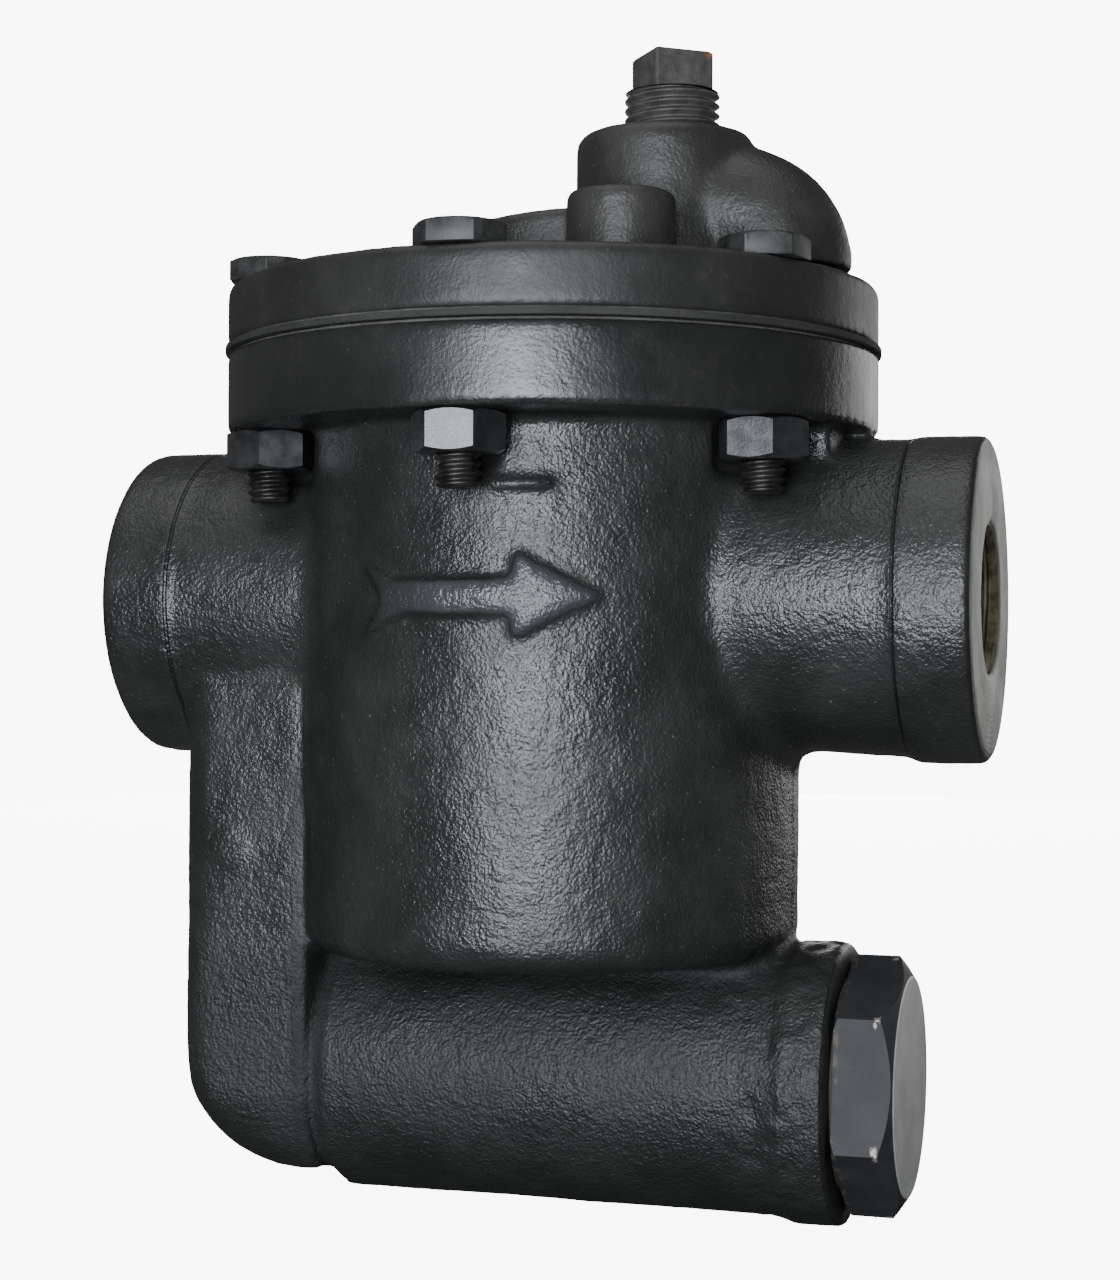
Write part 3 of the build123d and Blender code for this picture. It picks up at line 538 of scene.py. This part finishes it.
def casting_paint(name, paint, gloss, skin_depth, body_details=False):
    """Black paint over a sand-cast skin, with bare machined faces where the cast attribute is 0."""
    s = Shader(name)
    cast = s.attribute("cast")
    recess = s.attribute("recess")
    corner = s.attribute("corner")
    grain = s.noise(0.46 * MM, detail=2.0, rough=0.5)
    lumps = s.noise(1.15 * MM, detail=2.0, rough=0.5)
    fine = s.noise(0.2 * MM, detail=2.0)
    tone = s.noise(14 * MM, detail=4.0, rough=0.6)
    dust = s.noise(1.7 * MM, detail=5.0, rough=0.7)
    dark = tuple(c * 0.62 for c in paint)
    color = s.blend(s.span(tone, 0.35, 0.68), dark, paint)
    # the turned rims took a thinner, darker coat
    color = s.blend(s.span(cast, 0.4, 0.85, 0.6, 0.0), color, (0.012, 0.012, 0.0115))
    # brown foundry dust lies in the creases, thinly
    haze = s.times(s.span(dust, 0.5, 0.7), s.span(tone, 0.42, 0.6), 0.16)
    dusty = s.plus(s.times(s.span(recess, 0.05, 0.6), s.span(dust, 0.48, 0.72), 0.5), haze)
    color = s.blend(dusty, color, (0.052, 0.042, 0.03))
    # corners rub through to grey
    worn = s.times(s.span(corner, 0.35, 0.9), s.span(dust, 0.54, 0.7), s.span(tone, 0.4, 0.6), 0.8)
    color = s.blend(worn, color, (0.2, 0.2, 0.2))
    # a few pale flecks, and many finer grains of grit
    flecks = s.times(s.span(s.cells(3.1 * MM), 0.03, 0.07, 1.0, 0.0), s.span(tone, 0.5, 0.62), 0.5)
    color = s.blend(flecks, color, (0.23, 0.2, 0.16))
    grit = s.times(s.span(s.cells(1.3 * MM), 0.06, 0.12, 1.0, 0.0), s.span(dust, 0.46, 0.56), cast, 0.45)
    color = s.blend(grit, color, (0.19, 0.17, 0.14))
    if body_details:
        low_down = low_down_shaded_and_coarse(s)
        # painted shade: the colour darkens low down, over the strainer and the leg's foot
        color = s.blend(s.times(low_down, 0.5), color, (0.01, 0.01, 0.0095))
        rubbed_and_lit = rubbed_and_lit_arrow(s)
        # lighter on the arrow's raised face: rubbed paint, and a painted highlight kept off the tail
        color = s.blend(rubbed_and_lit, color, (0.042, 0.044, 0.047))
        dull_and_shaded = dull_and_shaded_coat(s, low_down)
        # painted shade, near black, on the leg's inner edge, in the crease beside it and under the barrel
        color = s.blend(dull_and_shaded, color, (0.006, 0.006, 0.0055))
        lines = collar_lines(s)
        color = s.blend(s.times(lines, 0.8), color, (0.006, 0.006, 0.006))
    bare = s.span(cast, 0.02, 0.16, 1.0, 0.0)
    metal_tone = s.noise(5 * MM, detail=6.0, rough=0.65)
    metal = s.blend(s.span(metal_tone, 0.35, 0.7), (0.16, 0.155, 0.142), (0.24, 0.234, 0.216))
    color = s.blend(bare, color, metal)
    s.set(Base_Color=color)
    s.set(Metallic=s.math("MAXIMUM", s.times(bare, 0.35), s.times(worn, 0.6)))
    rough = s.plus(s.span(tone, 0.3, 0.7, gloss - 0.05, gloss + 0.08), s.times(dusty, 0.4))
    rough = s.plus(rough, s.times(bare, 0.18), s.times(s.span(recess, 0.05, 0.5), 0.3))
    if body_details:
        rough = s.plus(rough, s.times(low_down, 0.16), s.times(dull_and_shaded, 0.3), s.times(rubbed_and_lit, -0.05))
    s.set(Roughness=s.math("MINIMUM", rough, 0.95))
    s.set(Specular_IOR_Level=0.5)
    height = s.plus(s.times(grain, 0.62), s.times(lumps, 0.5), s.times(fine, 0.1))
    height = s.times(height, s.plus(s.times(cast, 0.93), 0.07))
    if body_details:
        height = s.times(height, s.plus(1.0, s.times(low_down, 0.7)))
        height = s.plus(height, s.times(lines, -0.7))
    # turning marks on the bare faces
    rings = s.tree.nodes.new("ShaderNodeTexWave")
    rings.wave_type = "RINGS"
    rings.rings_direction = "X"
    s.put(rings.inputs["Vector"], s.place)
    rings.inputs["Scale"].default_value = 1 / (2.4 * MM)
    rings.inputs["Distortion"].default_value = 0.4
    height = s.plus(height, s.times(rings.outputs["Fac"], bare, 0.05))
    s.bump(height, skin_depth)
    return s.material


def worn_steel(name, light, dark, rust, rust_share, gloss, metallic):
    """Steel that has been handled: patchy tone, a little rust, fine scratches."""
    s = Shader(name)
    tone = s.noise(3.2 * MM, detail=5.0, rough=0.65)
    patch = s.noise(7.5 * MM, detail=5.0, rough=0.7, distort=0.6)
    fine = s.noise(0.35 * MM, detail=3.0)
    scratch = s.noise(1.1 * MM, detail=3.0, place=s.squeezed(7))
    color = s.blend(s.span(tone, 0.32, 0.7), dark, light)
    rusty = s.times(s.span(patch, 0.68 - rust_share, 0.8 - rust_share), s.span(fine, 0.35, 0.6))
    color = s.blend(rusty, color, rust)
    s.set(Base_Color=color)
    s.set(Metallic=s.span(rusty, 0.0, 0.8, metallic, 0.1))
    s.set(Roughness=s.plus(s.span(tone, 0.3, 0.7, gloss - 0.06, gloss + 0.1), s.times(rusty, 0.35)))
    s.bump(s.plus(s.times(fine, 0.6), s.times(scratch, 0.4), s.times(rusty, 0.5)), 0.03 * MM)
    return s.material


def hex_plug_paint():
    """Dark satin iron, with a lighter turned end face, chips at the corners and residue at the gasket."""
    s = Shader("strainer_plug_iron")
    x = s.coordinate("X")
    tone = s.noise(5 * MM, detail=5.0, rough=0.6)
    fine = s.noise(0.5 * MM, detail=3.0)
    chip_noise = s.noise(1.3 * MM, detail=4.0, rough=0.65)
    from_plug_axis = s.reach_from("X", (0, strainer_z))
    face_rim_x = hex_high.x - 0.6 * MM
    face = s.span(x, face_rim_x, face_rim_x + 0.15 * MM)
    side = s.blend(s.span(tone, 0.3, 0.7), (0.015, 0.0155, 0.017), (0.024, 0.025, 0.027))
    turned = s.blend(s.span(tone, 0.3, 0.7), (0.66, 0.655, 0.65), (0.76, 0.755, 0.75))
    color = s.blend(face, side, turned)
    # paint knocked off where a corner meets the turned end
    at_corner = s.span(from_plug_axis, hex_corner_radius - 0.8 * MM, hex_corner_radius - 0.4 * MM)
    at_end = s.near(x, hex_high.x - 2.9 * MM, 0.4 * MM)
    chips = s.times(at_corner, at_end, s.span(chip_noise, 0.5, 0.56))
    color = s.blend(chips, color, (0.5, 0.42, 0.38))
    root = s.times(s.near(x, hex_gasket_high.x + 0.2 * MM, 0.5 * MM), s.span(chip_noise, 0.5, 0.62), 0.5)
    color = s.blend(root, color, (0.12, 0.095, 0.06))
    s.set(Base_Color=color, Metallic=s.math("MAXIMUM", s.times(chips, 0.7), s.times(face, 0.6)))
    s.set(Roughness=s.plus(s.span(tone, 0.3, 0.7, 0.6, 0.7), s.times(face, -0.16)))
    skin = s.times(fine, s.plus(0.9, s.times(face, -0.6)))
    s.bump(s.plus(skin, s.times(chips, -0.5)), 0.05 * MM)
    return s.material


def plug_iron():
    """Unpainted dark iron of the test plug, with orange rust beginning at one corner."""
    s = Shader("plug_iron")
    tone = s.noise(2.6 * MM, detail=6.0, rough=0.68)
    fine = s.noise(0.35 * MM, detail=3.0)
    color = s.blend(s.span(tone, 0.3, 0.7), (0.052, 0.05, 0.046), (0.1, 0.098, 0.09))
    rust_spot = s.times(
        s.near(s.coordinate("Z"), plug_high.z, 1.0 * MM),
        s.span(s.coordinate("X"), plug_high.x - 1.6 * MM, plug_high.x - 0.8 * MM),
        s.span(fine, 0.35, 0.55),
    )
    color = s.blend(rust_spot, color, (0.42, 0.13, 0.03))
    s.set(Base_Color=color, Metallic=0.25)
    s.set(Roughness=s.span(tone, 0.3, 0.7, 0.46, 0.62))
    s.bump(s.plus(s.times(fine, 0.7), s.times(tone, 0.5)), 0.06 * MM)
    return s.material


def fibre(name, light, dark):
    """Pressed gasket sheet: matt, with fine fibres."""
    s = Shader(name)
    threads = s.noise(0.6 * MM, detail=4.0, rough=0.7, place=s.squeezed(4))
    tone = s.noise(8 * MM, detail=4.0)
    color = s.blend(s.span(threads, 0.35, 0.65), dark, light)
    color = s.blend(s.times(s.span(tone, 0.45, 0.7), 0.5), color, tuple(c * 0.5 for c in dark))
    s.set(Base_Color=color, Roughness=s.span(threads, 0.3, 0.7, 0.7, 0.9))
    s.bump(threads, 0.05 * MM)
    return s.material


def bore_threads():
    """Cut iron threads with brown oil and rust lying in them."""
    s = Shader("bore_threads")
    tone = s.noise(2.4 * MM, detail=5.0, rough=0.7)
    fine = s.noise(0.5 * MM, detail=3.0)
    color = s.blend(s.span(tone, 0.35, 0.65), (0.09, 0.06, 0.032), (0.24, 0.19, 0.12))
    s.set(Base_Color=color, Metallic=0.45)
    s.set(Roughness=s.span(fine, 0.3, 0.7, 0.4, 0.62))
    s.bump(fine, 0.04 * MM)
    return s.material


def brushed(name, light, dark, gloss):
    """Clean brushed stainless of the working parts inside."""
    s = Shader(name)
    lines = s.noise(0.9 * MM, detail=4.0, rough=0.6, place=s.squeezed(14))
    tone = s.noise(9 * MM, detail=3.0)
    color = s.blend(s.span(tone, 0.35, 0.65), dark, light)
    s.set(Base_Color=color, Metallic=1.0)
    s.set(Roughness=s.span(lines, 0.3, 0.7, gloss - 0.07, gloss + 0.09))
    s.bump(lines, 0.012 * MM)
    return s.material


def paint_piece(piece, material):
    piece.data.materials.clear()
    piece.data.materials.append(material)
    for polygon in piece.data.polygons:
        polygon.material_index = 0


# --- the two castings -----------------------------------------------------
def from_axis(points):
    return np.hypot(points[:, 0] - axis_x, points[:, 1])


def from_pipe(points):
    return np.hypot(points[:, 1], points[:, 2])


def near_bolts(points, radius):
    """1 close to any flange bolt, fading to 0 at the radius."""
    nearest = np.min([np.hypot(points[:, 0] - x, points[:, 1] - y) for x, y in bolt_places], axis=0)
    return 1 - step(radius - 1 * MM, radius, nearest)


def under_flange(points):
    """1 in the few millimetres under the flange, where the nuts sit."""
    below = points[:, 2] - flange_bottom_z
    return step(-9 * MM, -8 * MM, below) * (1 - step(0.1 * MM, 0.4 * MM, below))


def flange_rim(points):
    """1 on the turned rims of both flanges, fading to 0 just inside them."""
    return step(-0.9 * MM, -0.2 * MM, from_axis(points) - flange_radius)


def body_cast_mask(points):
    """1 on the sand-cast skin, low on the turned flange rim, 0 on machined faces."""
    x, z = points[:, 0], points[:, 2]
    mask = np.ones(len(points))
    ends = np.minimum(x - inlet_x, outlet_x - x)
    mask *= step(0.1 * MM, 1.0 * MM, ends)
    bore_wall = step(0.3 * MM, 1 * MM, from_pipe(points) - port_thread_radius)
    mask *= np.where(ends < port_thread_length + 1 * MM, bore_wall, 1)
    mask *= 1 - step(-0.5 * MM, 0.0, z - flange_top_z + 0.3 * MM)
    rim = flange_rim(points) * step(0, 0.8 * MM, z - flange_bottom_z)
    mask *= 1 - 0.75 * rim
    seat = near_bolts(points, 8 * MM) * under_flange(points)
    mask *= 1 - 0.5 * seat
    mask *= np.where((hex_gasket_low.x - x < 0.5 * MM) & (z < strainer_z + 25 * MM), 0.35, 1)
    inside = (from_axis(points) < chamber_radius + 0.5 * MM) & (z > chamber_floor_z - 1 * MM)
    return np.where(inside, 0.25, mask)


def on_marks(points):
    """True on and round the raised arrow and ledge."""
    x, y, z = points.T
    return (y < 0) & (np.abs(x - axis_x) < 20 * MM) & (np.abs(z - marks_z) < 14 * MM)


def under_inlet(points):
    """1 where the leg sweeps down out of the inlet neck, fading to 0."""
    z = points[:, 2]
    over_leg = 1 - step(-30 * MM, -26 * MM, points[:, 0] - axis_x)
    return over_leg * step(-34 * MM, -28 * MM, z) * (1 - step(-10 * MM, -6 * MM, z))


def nowhere(points):
    """False at every point: the cap has no raised marks and no swept fillet."""
    return np.zeros(len(points), dtype=bool)


def body_keep_sharp(points):
    """1 where creases stay crisp: nut seats, port bores, the arrow and ledge, and under the barrel."""
    ends = np.minimum(points[:, 0] - inlet_x, outlet_x - points[:, 0])
    in_bore = (from_pipe(points) < port_thread_radius + 1.5 * MM) & (ends < 20 * MM)
    seats = near_bolts(points, 8.5 * MM) * under_flange(points)
    below_barrel = step(-58 * MM, -56 * MM, points[:, 2]) * (1 - step(-47 * MM, -45 * MM, points[:, 2]))
    outside = from_axis(points) > chamber_radius
    return np.max([seats, in_bore * 1.0, on_marks(points) * 0.95, below_barrel * outside * 0.9], axis=0)


def body_bumps(points):
    """How far the sand-cast surface of the body stands out from the even skin."""
    wave = rough_field(points, 9 * MM, 1) * 0.14
    lumps = rough_field(points, 2.4 * MM, 2) * 0.06
    grain = rough_field(points, 1.2 * MM, 3) * 0.04
    # lumpier on the strainer's collar
    collar = step(-15 * MM, -11 * MM, points[:, 0] - hex_gasket_low.x) * (points[:, 2] < -48 * MM)
    # flash line where the two halves of the mould met
    seam = 1 - step(0.25 * MM, 0.8 * MM, np.abs(points[:, 1] + 0.2 * MM))
    outside = from_axis(points) > chamber_radius + 2 * MM
    # shallow groove where the leg meets the strainer barrel
    beside_leg = 1 - step(0.3 * MM, 1.3 * MM, np.abs(points[:, 0] - leg_inner_x - 0.4 * MM))
    groove = beside_leg * (points[:, 2] < -50 * MM) * (np.abs(points[:, 1]) > 6 * MM)
    lift = lumps * (1 + 4.5 * collar) + 0.16 * seam * outside
    return (wave + lift + grain - 0.4 * groove - 0.05) * MM


def lean_foot(piece):
    """The leg's front and back faces lean in towards its foot."""
    points = mesh_points(piece.data)
    low = 1 - step(-84 * MM, -71 * MM, points[:, 2])
    in_leg = 1 - step(-1 * MM, 1 * MM, points[:, 0] - leg_inner_x)
    points[:, 1] *= 1 - 0.16 * low * in_leg
    set_points(piece.data, points)


def from_valve(points):
    return np.hypot(points[:, 0] - valve_x, points[:, 1])


def cap_cast_mask(points):
    """1 on the sand-cast skin, low on the turned rim and in the test plug's bore, 0 on the joint face."""
    mask = step(0.1 * MM, 0.9 * MM, points[:, 2] - cap_bottom_z)
    mask *= 1 - 0.6 * flange_rim(points)
    return np.where(from_valve(points) < plug_bore_reach, 0.2, mask)


def cap_keep_sharp(points):
    """1 where creases stay crisp: the test plug's bore and round the bolts."""
    plug_bore = from_valve(points) < plug_bore_reach + 0.4 * MM
    return np.maximum(plug_bore * 1.0, near_bolts(points, 5 * MM))


def cap_bumps(points):
    """How far the sand-cast surface of the cap stands out from the even skin."""
    wave = rough_field(points, 8 * MM, 5) * 0.12
    lumps = rough_field(points, 2.4 * MM, 6) * 0.05
    grain = rough_field(points, 1.3 * MM, 7) * 0.03
    return (wave + lumps + grain - 0.03) * MM


def clip_to_cad(piece, low, high):
    """Keeps every point of the skin inside the CAD piece's box."""
    points = mesh_points(piece.data)
    set_points(piece.data, np.clip(points, np.array(low), np.array(high)))


def skin_rounds(reach):
    """Relaxing rounds that fill creases to about that reach."""
    return max(1, round((reach / voxel) ** 2))


body = cad_copy("trap_body", "trap_body_casting")
cast_skin(body, skin_rounds(1.9 * MM), body_keep_sharp, body_cast_mask, body_bumps, on_marks, under_inlet)
lean_foot(body)
clip_to_cad(body, body_low, body_high)
paint_piece(body, casting_paint("body_casting", (0.025, 0.0255, 0.0243), 0.3, 0.26 * MM, body_details=True))

cap = cad_copy("cap", "cap_casting")
cast_skin(cap, skin_rounds(1.7 * MM), cap_keep_sharp, cap_cast_mask, cap_bumps, nowhere, nowhere)
clip_to_cad(cap, cap_low, cap_high)
paint_piece(cap, casting_paint("cap_casting", (0.036, 0.0345, 0.031), 0.46, 0.16 * MM))

# --- threads in the ports -------------------------------------------------
thread_paint = bore_threads()
for port, x, inward in (("inlet", inlet_x, 1), ("outlet", outlet_x, -1)):
    sleeve = threaded_bore(
        f"{port}_thread",
        (x + inward * 0.35 * MM, 0, 0),
        (inward, 0, 0),
        port_thread_radius + 0.1 * MM,
        port_thread_depth,
        port_pitch,
        port_thread_length - 0.6 * MM,
    )
    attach(sleeve, "root")
    paint_piece(sleeve, thread_paint)

# --- bolts, nuts, plugs ---------------------------------------------------
bolt_paint = worn_steel(
    "bolt_steel",
    light=(0.07, 0.07, 0.068),
    dark=(0.03, 0.03, 0.029),
    rust=(0.12, 0.08, 0.055),
    rust_share=0.08,
    gloss=0.5,
    metallic=0.5,
)
heads = cad_copy("cap_bolts", "cap_bolt_heads")
heads_low_z = bolts_high.z - bolt_head_height
keep_where(heads, lambda p: p.z > heads_low_z - 0.4 * MM)
soften(heads, 0.16 * MM)
paint_piece(heads, bolt_paint)

end_paint = worn_steel(
    "bolt_ends",
    light=(0.08, 0.075, 0.071),
    dark=(0.03, 0.029, 0.028),
    rust=(0.1, 0.06, 0.042),
    rust_share=0.1,
    gloss=0.46,
    metallic=0.85,
)
for index, (x, y) in enumerate(bolt_places):
    shank = threaded_rod(
        f"cap_bolt_shank_{index + 1}",
        (x, y, bolts_low.z),
        (x, y, heads_low_z - 0.2 * MM),
        bolt_crest_radius,
        bolt_thread_depth,
        bolt_pitch,
        segments=36,
        rows_per_turn=8,
    )
    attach(shank, "root")
    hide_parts("cap_bolts")
    paint_piece(shank, end_paint)

nut_paint = worn_steel(
    "nut_steel",
    light=(0.12, 0.122, 0.125),
    dark=(0.08, 0.08, 0.082),
    rust=(0.08, 0.06, 0.045),
    rust_share=0.02,
    gloss=0.37,
    metallic=0.88,
)
paint_piece(nodes["cap_nuts"], nut_paint)
soften(nodes["cap_nuts"], 0.18 * MM)

head = cad_copy("test_plug", "test_plug_head")
shoulder_z = plug_high.z - plug_head_height
keep_where(head, lambda p: p.z > shoulder_z - 0.05 * MM)
soften(head, 0.3 * MM)
plug_paint = plug_iron()
paint_piece(head, plug_paint)
plug_thread = threaded_rod(
    "test_plug_thread",
    (valve_x, 0, plug_low.z),
    (valve_x, 0, shoulder_z + 0.1 * MM),
    plug_crest_radius,
    plug_thread_depth,
    plug_pitch,
)
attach(plug_thread, "root")
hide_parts("test_plug")
paint_piece(plug_thread, plug_paint)

hex_plug = cad_copy("strainer_plug", "strainer_hex_plug")
# normals worked out afresh shade the crowned face evenly, right to its middle
stored_normals = hex_plug.data.attributes.get("custom_normal")
if stored_normals:
    hex_plug.data.attributes.remove(stored_normals)
soften(hex_plug, 0.35 * MM, segments=3)
paint_piece(hex_plug, hex_plug_paint())

paint_piece(nodes["strainer_plug_gasket"], fibre("copper_gasket", (0.1, 0.07, 0.04), (0.025, 0.022, 0.02)))
paint_piece(nodes["cap_gasket"], fibre("fibre_gasket", (0.035, 0.034, 0.032), (0.014, 0.014, 0.013)))

# --- working parts inside -------------------------------------------------
stainless = brushed("stainless", (0.62, 0.62, 0.61), (0.5, 0.5, 0.49), 0.3)
hardened = brushed("hardened_stainless", (0.7, 0.7, 0.71), (0.6, 0.6, 0.61), 0.18)
washer_metal = brushed("seat_washer_metal", (0.6, 0.42, 0.28), (0.5, 0.33, 0.2), 0.34)
for name in (
    "strainer_screen",
    "screen_end_rings",
    "inlet_tube",
    "lever_bracket",
    "bracket_screw",
    "lever",
    "valve_retainer",
    "bucket",
    "bucket_clip",
    "clip_rivet",
    "bucket_weight",
):
    paint_piece(nodes[name], stainless)
for name in ("valve_seat", "pivot_pin", "valve_ball"):
    paint_piece(nodes[name], hardened)
paint_piece(nodes["seat_washer"], washer_metal)


# --- stage, light and camera ----------------------------------------------
def stage_material(paper_glow):
    """Pale paper. Its bounce onto the object is held down, so that the object's sides stay dark."""
    s = Shader("stage_paper")
    s.tree.nodes.remove(s.surface)
    path = s.tree.nodes.new("ShaderNodeLightPath")
    paper = s.tree.nodes.new("ShaderNodeBsdfDiffuse")
    paper.inputs["Color"].default_value = (0.87, 0.87, 0.865, 1)
    glow = s.tree.nodes.new("ShaderNodeEmission")
    glow.inputs["Strength"].default_value = paper_glow
    seen = s.tree.nodes.new("ShaderNodeAddShader")
    s.put(seen.inputs[0], paper.outputs[0])
    s.put(seen.inputs[1], glow.outputs[0])
    bounced = s.tree.nodes.new("ShaderNodeBsdfDiffuse")
    bounced.inputs["Color"].default_value = (0.16, 0.16, 0.16, 1)
    pick = s.tree.nodes.new("ShaderNodeMixShader")
    s.put(pick.inputs[0], path.outputs["Is Camera Ray"])
    s.put(pick.inputs[1], bounced.outputs[0])
    s.put(pick.inputs[2], seen.outputs[0])
    s.put(s.output.inputs["Surface"], pick.outputs[0])
    return s.material


def make_stage():
    floor_z = cad_box[0].z - 0.2 * MM
    reach = 40.0
    mesh = bpy.data.meshes.new("floor")
    corners = [(x * reach, y * reach, floor_z) for x, y in ((-1, -1), (1, -1), (1, 1), (-1, 1))]
    mesh.from_pydata(corners, [], [(0, 1, 2, 3)])
    floor = link(bpy.data.objects.new("floor", mesh))
    paint_piece(floor, stage_material(paper_glow=8.4))


def area_light(name, place, target, size, power, color=(1, 1, 1)):
    lamp = bpy.data.lights.new(name, "AREA")
    lamp.shape = "DISK"
    lamp.size = size
    lamp.energy = power
    lamp.color = color
    holder = link(bpy.data.objects.new(name, lamp))
    holder.location = place
    holder.rotation_euler = (Vector(target) - Vector(place)).to_track_quat("-Z", "Y").to_euler()
    holder.visible_camera = False


def make_world(seen, bounced):
    """A plain pale backdrop, dimmer as a light source than it looks."""
    world = bpy.data.worlds.new("studio")
    bpy.context.scene.world = world
    world.use_nodes = True
    tree = world.node_tree
    background = tree.nodes["Background"]
    background.inputs["Color"].default_value = (1, 1, 1, 1)
    path = tree.nodes.new("ShaderNodeLightPath")
    level = tree.nodes.new("ShaderNodeMapRange")
    tree.links.new(path.outputs["Is Camera Ray"], level.inputs["Value"])
    level.inputs["To Min"].default_value = bounced
    level.inputs["To Max"].default_value = seen
    tree.links.new(level.outputs["Result"], background.inputs["Strength"])


def sun_light(name, direction, spread, strength):
    lamp = bpy.data.lights.new(name, "SUN")
    lamp.angle = math.radians(spread)
    lamp.energy = strength
    holder = link(bpy.data.objects.new(name, lamp))
    holder.rotation_euler = Vector(direction).to_track_quat("-Z", "Y").to_euler()


def make_camera():
    lens = bpy.data.cameras.new("camera")
    lens.lens = 66.42
    lens.sensor_width = 36
    lens.clip_start = 0.01
    camera = link(bpy.data.objects.new("camera", lens))
    camera.location = (axis_x + 104.15 * MM, -334.0 * MM, -8.41 * MM)
    pitch, roll, yaw = math.radians(0.44), math.radians(0.22), math.radians(17.14)
    aim = Euler((math.radians(90) + pitch, 0, yaw)).to_quaternion()
    camera.rotation_mode = "QUATERNION"
    camera.rotation_quaternion = aim @ Euler((0, 0, roll)).to_quaternion()
    bpy.context.scene.camera = camera


make_stage()
make_world(seen=9.0, bounced=0.12)
middle = (axis_x, 0, 0)
key_place = (axis_x + 40 * MM, -420 * MM, -6 * MM)
area_light("key", key_place, middle, size=0.25, power=3.1, color=(0.88, 0.935, 1.0))
sun_light("overhead", (0.1, 0.15, -1.0), spread=50, strength=0.9)
area_light("back_left", (axis_x - 0.3, 1.0, 0.1), middle, size=0.5, power=3.0)
area_light("back_right", (axis_x + 0.48, 1.0, 0.05), middle, size=0.85, power=2.9)
make_camera()
